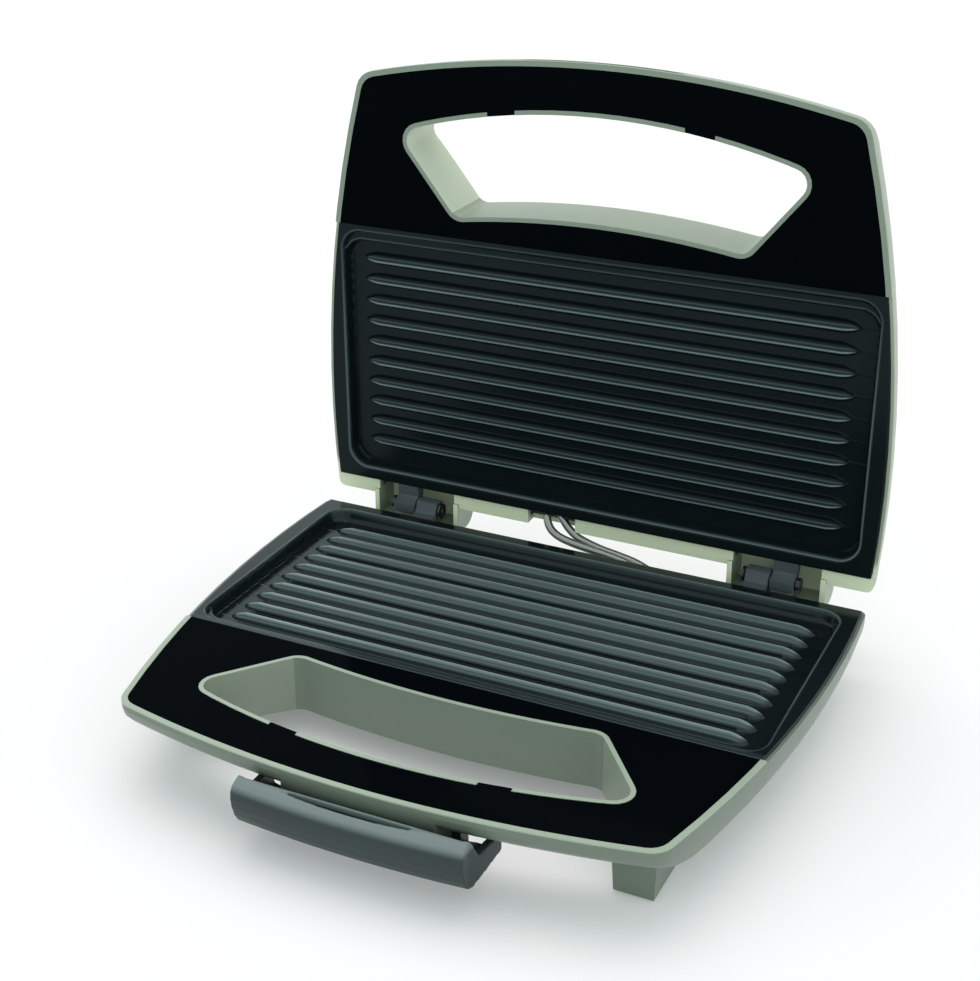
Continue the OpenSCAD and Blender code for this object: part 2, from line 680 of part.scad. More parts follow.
// Sheathed leads that cross from the base to the lid beside the hinges
function cross3(a, b) = [a[1] * b[2] - a[2] * b[1], a[2] * b[0] - a[0] * b[2], a[0] * b[1] - a[1] * b[0]];
function unit(v) = v / norm(v);
// Point on a smooth curve through p1 and p2, at t between 0 and 1
function curve(p0, p1, p2, p3, t) =
    0.5 * (2 * p1 + (p2 - p0) * t + (2 * p0 - 5 * p1 + 4 * p2 - p3) * t * t
        + (3 * p1 - p0 - 3 * p2 + p3) * t * t * t);
function smooth(p, n) = let (m = len(p) - 1)
    [for (i = [0:m - 1]) for (k = [0:n - 1])
        curve(p[max(i - 1, 0)], p[i], p[i + 1], p[min(i + 2, m)], k / n), p[m]];
module tube(route, r, sides) {
    p = smooth(route, 3);
    m = len(p) - 1;
    rings = [for (i = [0:m])
        let (t = unit(p[min(i + 1, m)] - p[max(i - 1, 0)]), a = unit(cross3(t, [0.3, 0.5, 1])), b = cross3(t, a))
        [for (k = [0:sides - 1]) p[i] + r * (cos(360 * k / sides) * a + sin(360 * k / sides) * b)]];
    loft(rings);
}
module live_lead() {
    color(steel) stand() tube(live_route, lead_r, 8);
}
module neutral_lead() {
    color(steel) stand() tube(neutral_route, lead_r, 8);
}
module lead_clip() {
    color(ceramic) stand() translate([30.3, live_route[0][1] - gap - lead_block[1], -tub_z - gap - lead_block[2]])
        cube(lead_block);
}
module lid_terminal() {
    color(ceramic) stand() translate([-25.3, live_route[len(live_route) - 1][1] + gap, 6.1]) cube(lid_block);
}

// Lid casing, with the housings that cover the hinges
module housing_side(x0, x1, inset) {
    along_x(x0, x1) polygon(concat([[-6, -housing_top + inset], [-6, past], [housing_y - inset, past]],
        arc([housing_y - housing_r, -housing_top + housing_r], housing_r - inset, 0, -90, 8)));
}
module lid_casing() {
    color(sage) on_lid() difference() {
        union() {
            casing_shell(lid_d, lid_rear, lid_shoulder) two_sides() housing_side(housing_x0, housing_x1, 0);
            difference() {
                two_sides() housing_side(housing_x0, housing_x1, 0);
                two_sides() housing_side(housing_x0 + wall, housing_x1 - wall, wall);
                casing_solid(lid_d, lid_rear, lid_shoulder, wall, past);
            }
        }
        two_sides() housing_side(housing_x0 + wall, housing_x1 - wall, wall);
        slab(0, 20) square([600, 600], center = true);
        translate([-29, -past, -7]) cube([22.5, lid_rear + 6, 12]);
        translate([-half_w, -body_l - 10, -catch_z1 + mate_gap])
            cube([2 * half_w, 10 + catch_deep, catch_z1 - catch_z0]);
        for (s = [-1, 1]) translate([s * lens_x, -lens_y, -lid_d - past]) cylinder(h = wall + 2 * past, r = lens_r + 0.1);
    }
}
module lens(x) {
    color(lens_red) on_lid() translate([x, -lens_y, -lid_d - lens_out]) difference() {
        union() {
            cylinder(h = lens_out + wall + 1.8, r = lens_r);
            translate([0, 0, lens_out + wall + 0.1]) cylinder(h = 1, r = lens_r + lens_lip);
        }
        translate([0, 0, lens_skin]) cylinder(h = lens_out + wall + 2, r = lens_r - 1);
    }
}
module power_lens() {
    lens(-lens_x);
}
module ready_lens() {
    lens(lens_x);
}
module lamp_holder() {
    color(ceramic) on_lid() translate([0, -lens_y, -lid_d + lamp_z]) {
        translate([-lens_x - lamp_plate[0] / 2, -lamp_plate[1] / 2, 0])
            cube([2 * lens_x + lamp_plate[0], lamp_plate[1], lamp_plate[2]]);
        for (s = [-1, 1]) translate([s * lens_x, 0, -2.6]) cylinder(h = 3, r = lens_r - 1.6);
    }
}
module lid_panel() {
    color(gloss_black) on_lid() panel(lid_rear);
}
module lid_panel_screws() {
    color(steel) on_lid() panel_screws();
}
module lid_plate() {
    color(charcoal) on_lid() plate(knuckle_x1 + knuckle_gap / 2, knuckle_x2);
}
module lid_element() {
    color(steel) on_lid() element();
}
module lid_reflector() {
    color(steel) on_lid() reflector();
}
module lid_plate_screws() {
    color(steel) on_lid() plate_screws();
}

// Steel pins that join the plates' lugs
module hinge_pin() {
    rod_x(knuckle_x0 - 2.6, knuckle_x2 + 0.4, hinge_pin_r, hinge_y, hinge_z);
    rod_x(knuckle_x2 + 0.3, knuckle_x2 + 2.3, hinge_pin_r + 1.1, hinge_y, hinge_z);
}
module left_hinge_pin() {
    color(steel) stand() mirror([1, 0, 0]) hinge_pin();
}
module right_hinge_pin() {
    color(steel) stand() hinge_pin();
}
module hinge_washers() {
    color(steel) stand() two_sides() difference() {
        rod_x(knuckle_x0 - 1.7, knuckle_x0 - 0.7, hinge_pin_r + 1.6, hinge_y, hinge_z);
        rod_x(knuckle_x0 - 3, knuckle_x0, hinge_pin_r + 0.03, hinge_y, hinge_z);
    }
}

// Latch: a bowed hollow grip with straight lip, finger slot and two arms that hang on the pin
function latch_ring(p) = [norm([front_c[1] + latch_y + p[0], latch_half]), p[1] - latch_z];
module latch_sweep(profile) {
    translate([front_c[0], front_c[1], 0]) rotate(-90 - 8) rotate_extrude(angle = 16, $fn = 180)
        polygon([for (p = profile) latch_ring(p)]);
}
module latch_plan(inset) {
    slab(-60, 60) polygon([[-latch_half + inset, -latch_y - 30], [latch_half - inset, -latch_y - 30],
        [latch_half - inset, -latch_y - 18], [latch_half + 2.6 - inset, -latch_y + 10],
        [-latch_half - 2.6 + inset, -latch_y + 10], [-latch_half + inset, -latch_y - 18]]);
}
module latch_arm(x0) {
    difference() {
        union() {
            rod_x(x0, x0 + arm_w, latch_pin_r + 1.9, -latch_y, -latch_z);
            along_x(x0, x0 + arm_w) translate([-latch_y, -latch_z])
                polygon([[2.9, -1], [4, -16.4], [-2.5, -15.3], [-2.9, -1]]);
        }
        rod_x(x0 - past, x0 + arm_w + past, latch_pin_r + pin_clear, -latch_y, -latch_z);
    }
}
// What the closed casing's front takes out of the hanging latch, between half lengths x
module latch_clear(x, front_y) {
    translate([0, -latch_y, -latch_z]) rotate([latch_swing, 0, 0]) {
        translate([-x, -front_y, -4]) cube([2 * x, 40, 4 + latch_z + catch_z0 + gap]);
        translate([-x, catch_deep - latch_in - gap, latch_z + catch_z0]) cube([2 * x, 40, 12]);
    }
}
module latch() {
    inner_x = latch_half - latch_t;
    lip_front = latch_y + lip_y + lip_t;
    color(latch_grey) stand() {
        difference() {
            union() {
                intersection() {
                    latch_sweep(latch_profile);
                    latch_plan(0);
                }
                translate([-latch_half, -lip_front, -latch_z - 2]) cube([2 * latch_half, lip_t, 2.5]);
            }
            intersection() {
                union() {
                    latch_sweep(latch_hollow);
                    rod_x(-inner_x - past, inner_x + past, latch_inner_r, -latch_y, -latch_z);
                    latch_clear(inner_x + past, latch_in + latch_front_gap);
                }
                latch_plan(latch_t);
            }
            translate([0, -latch_y, -latch_z]) along_x(-2 * latch_half, 2 * latch_half)
                polygon([for (p = latch_room) [-p[0], p[1]]]);
            slab(-latch_z - 8, 0) intersection() {
                translate([0, latch_slot_r - latch_y - latch_slot_y]) circle(latch_slot_r, $fn = 360);
                translate([-latch_half, -lip_front - 12]) square([2 * latch_half, 12]);
            }
        }
        for (s = [-1, 1]) latch_arm(s * arm_x - arm_w / 2);
    }
}
module latch_pin() {
    color(steel) stand() rod_x(-arm_x - arm_w / 2 - 1, arm_x + arm_w / 2 + 1, latch_pin_r, -latch_y, -latch_z);
}

base_casing();
base_panel();
base_plate();
base_element();
base_reflector();
foot_pads();
latch();
latch_pin();
left_hinge_pin();
right_hinge_pin();
hinge_washers();
thermostat();
thermal_fuse();
terminal_block();
cord_inlet();
base_panel_screws();
base_plate_screws();
live_lead();
neutral_lead();
lead_clip();
lid_casing();
lid_panel();
lid_plate();
lid_element();
lid_reflector();
lid_terminal();
power_lens();
ready_lens();
lamp_holder();
lid_panel_screws();
lid_plate_screws();
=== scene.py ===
import math

import bmesh
import bpy
import numpy as np
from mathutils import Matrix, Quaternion, Vector


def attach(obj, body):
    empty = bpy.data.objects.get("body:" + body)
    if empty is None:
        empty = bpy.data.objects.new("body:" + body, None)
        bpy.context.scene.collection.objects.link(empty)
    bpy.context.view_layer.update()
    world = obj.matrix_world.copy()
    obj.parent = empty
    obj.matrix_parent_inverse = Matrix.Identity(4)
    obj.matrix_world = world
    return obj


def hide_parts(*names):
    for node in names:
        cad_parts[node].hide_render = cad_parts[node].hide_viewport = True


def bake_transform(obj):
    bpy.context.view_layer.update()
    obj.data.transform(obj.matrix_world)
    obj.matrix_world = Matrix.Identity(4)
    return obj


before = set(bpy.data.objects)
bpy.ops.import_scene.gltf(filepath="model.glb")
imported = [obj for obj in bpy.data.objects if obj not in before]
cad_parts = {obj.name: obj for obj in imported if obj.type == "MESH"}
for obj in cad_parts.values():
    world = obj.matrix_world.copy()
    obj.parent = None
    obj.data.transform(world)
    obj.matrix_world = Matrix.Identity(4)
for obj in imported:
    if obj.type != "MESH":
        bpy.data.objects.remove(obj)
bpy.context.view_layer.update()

standY, standZ = 85.4, 34.0          # mm from the hinge frame, used for measuring, to the row frame
hingeY, hingeZ = 8.9, 0.6            # the lid's axis in the hinge frame


# Millimetres in the hinge frame to metres in the row frame.
def toRow(points):
    return (np.asarray(points, float) + np.array([0.0, standY, standZ])) / 1000.0


# Metres in the row frame back to millimetres in the hinge frame, from a flat array.
def fromRow(values):
    return values.reshape(-1, 3) * 1000.0 - np.array([0.0, standY, standZ])


# A half drawn like the base is mirrored over the mating gap and stood up on the hinge.
# Done twice, it is undone.
def toLid(points):
    p = np.asarray(points, float)
    turned = p.copy()
    turned[..., 1] = hingeY + hingeZ - p[..., 2]
    turned[..., 2] = hingeY + hingeZ - p[..., 1]
    return turned


# Quads over a rows by columns grid of points, joined round the columns when closed.
def gridFaces(rows, columns, closed=False):
    i = np.arange(rows - 1)[:, None]
    j = np.arange(columns if closed else columns - 1)[None, :]
    k = (j + 1) % columns
    corners = [i * columns + j, i * columns + k, (i + 1) * columns + k, (i + 1) * columns + j]
    return np.stack(corners, -1).reshape(-1, 4)


# Smooth shading with sharp edges where two faces meet at more than the angle.
def finishNormals(piece, smoothAngle):
    mesh = piece.data
    mesh.polygons.foreach_set("use_smooth", np.ones(len(mesh.polygons), bool))
    mesh.set_sharp_from_angle(angle=math.radians(smoothAngle))
    mesh.update()


# Arrays of row-frame points and faces become one object at the origin, poles merged and faces outward.
def addMesh(name, points, faces, smoothAngle, mergeGap=1e-7):
    mesh = bpy.data.meshes.new(name)
    mesh.from_pydata(np.asarray(points).tolist(), [], np.asarray(faces).tolist())
    work = bmesh.new()
    work.from_mesh(mesh)
    bmesh.ops.remove_doubles(work, verts=work.verts, dist=mergeGap)
    bmesh.ops.recalc_face_normals(work, faces=work.faces)
    work.to_mesh(mesh)
    work.free()
    mesh.validate()
    piece = bpy.data.objects.new(name, mesh)
    bpy.context.scene.collection.objects.link(piece)
    finishNormals(piece, smoothAngle)
    return piece


# Makes one object the only selected one, for Blender's own operators.
def useObject(piece):
    for other in bpy.context.selected_objects:
        other.select_set(False)
    piece.select_set(True)
    bpy.context.view_layer.objects.active = piece


# A copy of a CAD node's loose triangles, merged, and with flat faces made whole again where asked.
def mergedCopy(node, name, dissolve=True, mergeGap=2e-6, flatAngle=0.6):
    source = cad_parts[node]
    piece = source.copy()
    piece.data = source.data.copy()
    piece.name = piece.data.name = name
    piece.data.materials.clear()
    for collection in source.users_collection:
        collection.objects.link(piece)
    piece.parent = None
    useObject(piece)
    bpy.ops.object.mode_set(mode="EDIT")
    bpy.ops.mesh.select_all(action="SELECT")
    bpy.ops.mesh.remove_doubles(threshold=mergeGap)
    if dissolve:
        bpy.ops.mesh.dissolve_limited(angle_limit=math.radians(flatAngle), delimit=set())
    bpy.ops.object.mode_set(mode="OBJECT")
    return piece


# Rebuilds a solid from small even cells and relaxes it, so that its edges come out soft, as from a mould.
def moulded(piece, cell, rounds):
    remesh = piece.modifiers.new("evenCells", "REMESH")
    remesh.mode = "VOXEL"
    remesh.voxel_size = cell / 1000.0
    relax = piece.modifiers.new("softEdges", "SMOOTH")
    relax.factor = 0.5
    relax.iterations = rounds
    useObject(piece)
    for modifier in [m.name for m in piece.modifiers]:
        bpy.ops.object.modifier_apply(modifier=modifier)
    piece.data.polygons.foreach_set("use_smooth", np.ones(len(piece.data.polygons), bool))
    piece.data.update()
    return piece


# A copy of a CAD node with its sharp edges rounded.
def softCopy(node, name, width, segments=2, sharpAngle=38, smoothAngle=32):
    piece = mergedCopy(node, name)
    bevel = piece.modifiers.new("roundedEdges", "BEVEL")
    bevel.width = width / 1000.0
    bevel.segments = segments
    bevel.limit_method = "ANGLE"
    bevel.angle_limit = math.radians(sharpAngle)
    bevel.use_clamp_overlap = True
    bevel.miter_outer = "MITER_ARC"
    finishNormals(piece, smoothAngle)
    return piece


# Fixed values for a shader node's sockets, by label.
def setSockets(node, values):
    for label, value in values.items():
        node.inputs[label].default_value = value


# An empty shader group with number sockets, and its two end nodes.
def makeGroup(name, inputs, outputs):
    group = bpy.data.node_groups.new(name, "ShaderNodeTree")
    for label, value in inputs:
        socket = group.interface.new_socket(name=label, in_out="INPUT", socket_type="NodeSocketFloat")
        socket.default_value = value
    for label in outputs:
        group.interface.new_socket(name=label, in_out="OUTPUT", socket_type="NodeSocketFloat")
    return group, group.nodes.new("NodeGroupInput"), group.nodes.new("NodeGroupOutput")


# Fine moulded grain as a height, and slow wandering of colour and gloss as masks, all noise in Object space.
def mouldedSurface():
    group, start, end = makeGroup("mouldedSurface", [("Grain Scale", 1400.0)],
                                  ["Grain", "Drift", "Handling"])
    nodes, links = group.nodes, group.links
    place = nodes.new("ShaderNodeTexCoord")
    noises = {}
    for label, values in (("grain", {"Detail": 3.0, "Roughness": 0.55}),
                          ("drift", {"Scale": 14.0, "Detail": 4.0, "Roughness": 0.6}),
                          ("smear", {"Scale": 60.0, "Detail": 6.0, "Roughness": 0.7, "Distortion": 0.8})):
        noises[label] = nodes.new("ShaderNodeTexNoise")
        setSockets(noises[label], values)
        links.new(place.outputs["Object"], noises[label].inputs["Vector"])
    links.new(start.outputs["Grain Scale"], noises["grain"].inputs["Scale"])
    shape = nodes.new("ShaderNodeMapRange")
    setSockets(shape, {"From Min": 0.48, "From Max": 0.72})
    links.new(noises["smear"].outputs["Fac"], shape.inputs["Value"])
    links.new(noises["grain"].outputs["Fac"], end.inputs["Grain"])
    links.new(noises["drift"].outputs["Fac"], end.inputs["Drift"])
    links.new(shape.outputs["Result"], end.inputs["Handling"])
    return group


# A mask that rises from 0 to 1 between two depths and between two pairs of heights, all multiplied. It
# places painted light and shade.
def zoneMask():
    limits = (("Y", "Y"), ("Z", "Z"), ("Above", "Z"))
    unset = ((" From", 9.0), (" To", 8.0))      # metres, so far out that such a pair gives 1 on every piece
    sockets = [(label + side, value) for label, axis in limits for side, value in unset]
    group, start, end = makeGroup("zoneMask", sockets, ["Mask"])
    nodes, links = group.nodes, group.links
    place = nodes.new("ShaderNodeTexCoord")
    apart = nodes.new("ShaderNodeSeparateXYZ")
    links.new(place.outputs["Object"], apart.inputs["Vector"])
    mask = None
    for label, axis in limits:
        rise = nodes.new("ShaderNodeMapRange")
        rise.interpolation_type = "SMOOTHSTEP"
        links.new(apart.outputs[axis], rise.inputs["Value"])
        links.new(start.outputs[label + " From"], rise.inputs["From Min"])
        links.new(start.outputs[label + " To"], rise.inputs["From Max"])
        if mask is None:
            mask = rise.outputs["Result"]
            continue
        both = nodes.new("ShaderNodeMath")
        both.operation = "MULTIPLY"
        links.new(mask, both.inputs[0])
        links.new(rise.outputs["Result"], both.inputs[1])
        mask = both.outputs[0]
    links.new(mask, end.inputs["Mask"])
    return group


surfaceGroup = mouldedSurface()
paintedLightGroup = zoneMask()


# A mix of two fixed colours, whose factor is still to be linked.
def mixColours(nodes, first, second):
    mix = nodes.new("ShaderNodeMix")
    mix.data_type = "RGBA"
    mix.inputs["A"].default_value = (*first, 1.0)
    mix.inputs["B"].default_value = (*second, 1.0)
    return mix


# One fixed colour laid over another where the mask is 1.
def layOver(nodes, links, under, colour, mask):
    over = mixColours(nodes, colour, colour)
    links.new(mask, over.inputs["Factor"])
    links.new(under, over.inputs["A"])
    return over.outputs["Result"]


# One material: a Principled shader with its colour, gloss and grain led by the shared groups.
def surfaceMaterial(name, spec):
    material = bpy.data.materials.new(name)
    material.use_nodes = True
    nodes, links = material.node_tree.nodes, material.node_tree.links
    shader = nodes["Principled BSDF"]
    setSockets(shader, {"Metallic": spec.get("metallic", 0.0), "IOR": 1.5,
                        "Specular IOR Level": spec.get("specular", 0.5),
                        "Specular Tint": (*spec.get("glossTint", (1.0, 1.0, 1.0)), 1.0),
                        "Coat Weight": spec.get("coat", 0.0), "Coat Roughness": 0.05})
    surface = nodes.new("ShaderNodeGroup")
    surface.node_tree = surfaceGroup
    setSockets(surface, {"Grain Scale": spec.get("grainScale", 1400.0)})
    tint = mixColours(nodes, spec["dark"], spec["light"])
    links.new(surface.outputs["Drift"], tint.inputs["Factor"])
    colour = tint.outputs["Result"]
    # Zones of painted light and shade, then the plate's painted highlight, are laid over the colour.
    for zone in spec.get("paintedZones", ()):
        mask = nodes.new("ShaderNodeGroup")
        mask.node_tree = paintedLightGroup
        for limit in ("y", "z", "above"):
            if limit in zone:
                label = limit.capitalize()
                setSockets(mask, {label + " From": zone[limit][0], label + " To": zone[limit][1]})
        colour = layOver(nodes, links, colour, zone["colour"], mask.outputs["Mask"])
    if "paintedHighlight" in spec:
        mark = nodes.new("ShaderNodeAttribute")
        mark.attribute_name = "plateHighlight"
        colour = layOver(nodes, links, colour, spec["paintedHighlight"], mark.outputs["Fac"])
    links.new(colour, shader.inputs["Base Color"])
    gloss = nodes.new("ShaderNodeMapRange")
    setSockets(gloss, {"To Min": spec["rough"], "To Max": spec["rough"] + spec.get("roughSpread", 0.06)})
    links.new(surface.outputs["Handling"], gloss.inputs["Value"])
    links.new(gloss.outputs["Result"], shader.inputs["Roughness"])
    bump = nodes.new("ShaderNodeBump")
    setSockets(bump, {"Strength": spec.get("bump", 0.1), "Distance": 0.00005})
    links.new(surface.outputs["Grain"], bump.inputs["Height"])
    links.new(bump.outputs["Normal"], shader.inputs["Normal"])
    return material


# Colours wander between dark and light. Each zone paints light or shade: it lays its colour between limits
# in metres of the piece's own frame, and the plate's painted highlight colour goes where its highlight mask
# is 1.
sage = dict(rough=0.32, grainScale=900.0, bump=0.12)
sageLid = dict(dark=(0.3, 0.355, 0.265), light=(0.33, 0.39, 0.29), **sage)
# The lid's rim is painted darker: painted shade on its rounded edge.
lidRimShade = dict(y=(0.0959, 0.0955), colour=(0.21, 0.275, 0.21))
nonStick = dict(roughSpread=0.05, grainScale=1600.0, bump=0.12, glossTint=(0.74, 0.99, 1.0))
finishes = {
    # Painted shade: base sage darker than the lid's; painted lighter bottom and painted highlight on the rim
    # tops.
    "sageBase": dict(dark=(0.142, 0.182, 0.142), light=(0.16, 0.203, 0.16),
                     paintedZones=[dict(z=(0.022, 0.006), colour=(0.165, 0.21, 0.162)),
                            dict(z=(0.0333, 0.0336), colour=(0.35, 0.43, 0.335))], **sage),
    "sageLid": dict(paintedZones=[lidRimShade], **sageLid),
    # Painted light and shade in the handle openings: the base's lining, its lighter ends, the lid's lit
    # ends.
    "sageBaseLining": dict(dark=(0.19, 0.238, 0.187), light=(0.215, 0.268, 0.212), **sage),
    "sageBaseLiningEnd": dict(dark=(0.27, 0.325, 0.25), light=(0.305, 0.365, 0.282), **sage),
    "sageLidLiningEnd": dict(dark=(0.56, 0.63, 0.48), light=(0.6, 0.67, 0.52), **sage),
    # The lid's faces towards the base: the rim's painted shade and a painted pale strip of light low on the
    # lid.
    "sageLidFace": dict(paintedZones=[lidRimShade, dict(z=(0.052, 0.047), colour=(0.78, 0.87, 0.62))], **sageLid),
    "pianoBlack": dict(dark=(0.0012, 0.0024, 0.0034), light=(0.0017, 0.003, 0.0042), rough=0.08,
                       roughSpread=0.03, bump=0.0, specular=0.004),
    "nonStickLid": dict(dark=(0.0045, 0.008, 0.009), light=(0.0065, 0.011, 0.0125), rough=0.2,
                        specular=0.12, paintedHighlight=(0.25, 0.345, 0.355), **nonStick),
    "nonStickBase": dict(dark=(0.005, 0.0085, 0.0095), light=(0.008, 0.0125, 0.0138), rough=0.13,
                         specular=0.3, paintedHighlight=(0.22, 0.3, 0.305),
                         # The zone paints a reflection on the base plate's front edge.
                         paintedZones=[dict(y=(-0.0305, -0.032), colour=(0.02, 0.028, 0.03))], **nonStick),
    "lugCasting": dict(dark=(0.055, 0.073, 0.08), light=(0.075, 0.097, 0.105), rough=0.4,
                       grainScale=1600.0, bump=0.4, specular=0.3),
    "latchPlastic": dict(dark=(0.027, 0.042, 0.041), light=(0.033, 0.051, 0.05), rough=0.38,
                         grainScale=1300.0, bump=0.2, specular=0.25,
                         # The zone paints a highlight along the latch's top edge.
                         paintedZones=[dict(above=(0.0245, 0.0272), colour=(0.17, 0.22, 0.216))]),
    "brightSteel": dict(dark=(0.55, 0.56, 0.57), light=(0.66, 0.67, 0.68), rough=0.2, metallic=1.0,
                        bump=0.05),
    "darkSteel": dict(dark=(0.03, 0.036, 0.037), light=(0.045, 0.052, 0.054), rough=0.3, metallic=0.8),
    "leadSleeve": dict(dark=(0.2, 0.215, 0.2), light=(0.3, 0.32, 0.3), rough=0.2, metallic=0.9,
                       bump=0.05),
    "platedSheet": dict(dark=(0.5, 0.51, 0.52), light=(0.62, 0.63, 0.64), rough=0.35, metallic=1.0),
    "softRubber": dict(dark=(0.018, 0.018, 0.018), light=(0.026, 0.026, 0.026), rough=0.7, bump=0.4,
                       grainScale=1000.0),
    "steatite": dict(dark=(0.62, 0.59, 0.52), light=(0.74, 0.72, 0.66), rough=0.6, bump=0.3),
    "redLens": dict(dark=(0.45, 0.015, 0.012), light=(0.6, 0.03, 0.02), rough=0.12, bump=0.0, coat=0.5),
}
materials = {key: surfaceMaterial(key, spec) for key, spec in finishes.items()}


# Gives a piece its material, hides the CAD nodes that it stands for, and gives it its body unless it bends.
def dress(piece, finish, body, slot, *nodes):
    piece.data.materials.clear()
    piece.data.materials.append(materials[finish])
    if body:
        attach(piece, body)
    if nodes:
        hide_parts(*nodes)


# The material of a CAD node that keeps its own mesh.
def dressNode(node, finish):
    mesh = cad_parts[node].data
    mesh.materials.clear()
    mesh.materials.append(materials[finish])


innerFinishes = {
    "brightSteel": ("base_plate_screws", "lid_plate_screws", "base_element", "lid_element"),
    "platedSheet": ("base_reflector", "lid_reflector"),
    "steatite": ("thermostat", "thermal_fuse", "terminal_block", "lead_clip", "lid_terminal", "lamp_holder")}
for finish, innerNodes in innerFinishes.items():
    for node in innerNodes:
        dressNode(node, finish)
print("materials made")


# The camera, fitted to the photograph: places in metres of the row frame, lens in mm, roll in degrees.
photoCamera = {"place": (0.2477, -0.51986, 0.36826), "target": (-0.0016, -0.00013, 0.09872),
               "lens": 62.26, "sensor": 36.0, "roll": -0.17, "near": 0.01, "far": 50.0}


def addCamera(spec):
    data = bpy.data.cameras.new("photoCamera")
    data.lens = spec["lens"]
    data.sensor_width = spec["sensor"]
    data.clip_start, data.clip_end = spec["near"], spec["far"]
    camera = bpy.data.objects.new("photoCamera", data)
    bpy.context.scene.collection.objects.link(camera)
    place, target = Vector(spec["place"]), Vector(spec["target"])
    camera.location = place
    roll = Quaternion((0.0, 0.0, 1.0), math.radians(spec["roll"]))
    camera.rotation_euler = ((target - place).to_track_quat("-Z", "Y") @ roll).to_euler()
    bpy.context.scene.camera = camera


white = (1.0, 1.0, 1.0)
studio = {"worldLight": 0.79, "worldColour": (0.905, 1.0, 0.998),
          "keyStrength": 1.15, "keyTurn": (-20.0, -12.0, 0.0), "keyAngle": 60.0,
          "keyColour": (1.0, 0.86, 0.87),
          "fillStrength": 0.3, "fillTurn": (58.0, 0.0, 70.0), "fillAngle": 90.0,
          "floorSize": 12.0, "floorColour": (0.95, 0.95, 0.95), "floorGlow": 0.2,
          "glowColour": (0.98, 1.0, 1.0)}


# A sun lamp, turned and widened by degrees.
def addSun(name, strength, turn, angle, colour):
    data = bpy.data.lights.new(name, "SUN")
    data.energy = strength
    data.color = colour
    data.angle = math.radians(angle)
    lamp = bpy.data.objects.new(name, data)
    bpy.context.scene.collection.objects.link(lamp)
    lamp.rotation_euler = tuple(math.radians(v) for v in turn)


# Two masks: the first is 1 for the eye's own rays, the second for those and for gloss.
def seenMasks(nodes, links):
    path = nodes.new("ShaderNodeLightPath")
    seen = nodes.new("ShaderNodeMath")
    seen.operation = "MAXIMUM"
    links.new(path.outputs["Is Camera Ray"], seen.inputs[0])
    links.new(path.outputs["Is Glossy Ray"], seen.inputs[1])
    return path.outputs["Is Camera Ray"], seen.outputs[0]


# White paper whose shadows are thinned for the eye and for gloss by a share of plain glow.
def paperFloor(spec):
    material = bpy.data.materials.new("paperFloor")
    material.use_nodes = True
    nodes, links = material.node_tree.nodes, material.node_tree.links
    shader = nodes["Principled BSDF"]
    setSockets(shader, {"Base Color": (*spec["floorColour"], 1.0), "Roughness": 0.9,
                        "Specular IOR Level": 0.0})
    glow = nodes.new("ShaderNodeEmission")
    setSockets(glow, {"Color": (*spec["glowColour"], 1.0)})
    share = nodes.new("ShaderNodeMath")
    share.operation = "MULTIPLY"
    share.inputs[1].default_value = spec["floorGlow"]
    links.new(seenMasks(nodes, links)[1], share.inputs[0])
    both = nodes.new("ShaderNodeMixShader")
    links.new(share.outputs[0], both.inputs["Fac"])
    links.new(shader.outputs["BSDF"], both.inputs[1])
    links.new(glow.outputs["Emission"], both.inputs[2])
    links.new(both.outputs["Shader"], nodes["Material Output"].inputs["Surface"])
    return material


# A world that is white for the eye, cooler for all other rays and weaker as light, with two wide suns and a
# paper floor.
def addStudio(spec):
    world = bpy.data.worlds.new("studioWorld")
    bpy.context.scene.world = world
    world.use_nodes = True
    nodes, links = world.node_tree.nodes, world.node_tree.links
    background = nodes["Background"]
    eye, eyeOrGloss = seenMasks(nodes, links)
    tint = mixColours(nodes, spec["worldColour"], white)
    links.new(eye, tint.inputs["Factor"])
    links.new(tint.outputs["Result"], background.inputs["Color"])
    level = nodes.new("ShaderNodeMapRange")
    setSockets(level, {"To Min": spec["worldLight"], "To Max": 1.0})
    links.new(eyeOrGloss, level.inputs["Value"])
    links.new(level.outputs["Result"], background.inputs["Strength"])
    addSun("keyLight", spec["keyStrength"], spec["keyTurn"], spec["keyAngle"], spec["keyColour"])
    addSun("fillLight", spec["fillStrength"], spec["fillTurn"], spec["fillAngle"], white)
    bpy.ops.mesh.primitive_plane_add(size=spec["floorSize"], location=(0.0, 0.0, 0.0))
    floor = bpy.context.object
    floor.name = "floor"
    floor.data.materials.append(paperFloor(spec))


bpy.context.scene.view_settings.view_transform = "Standard"
addCamera(photoCamera)
addStudio(studio)
print("camera and studio made")


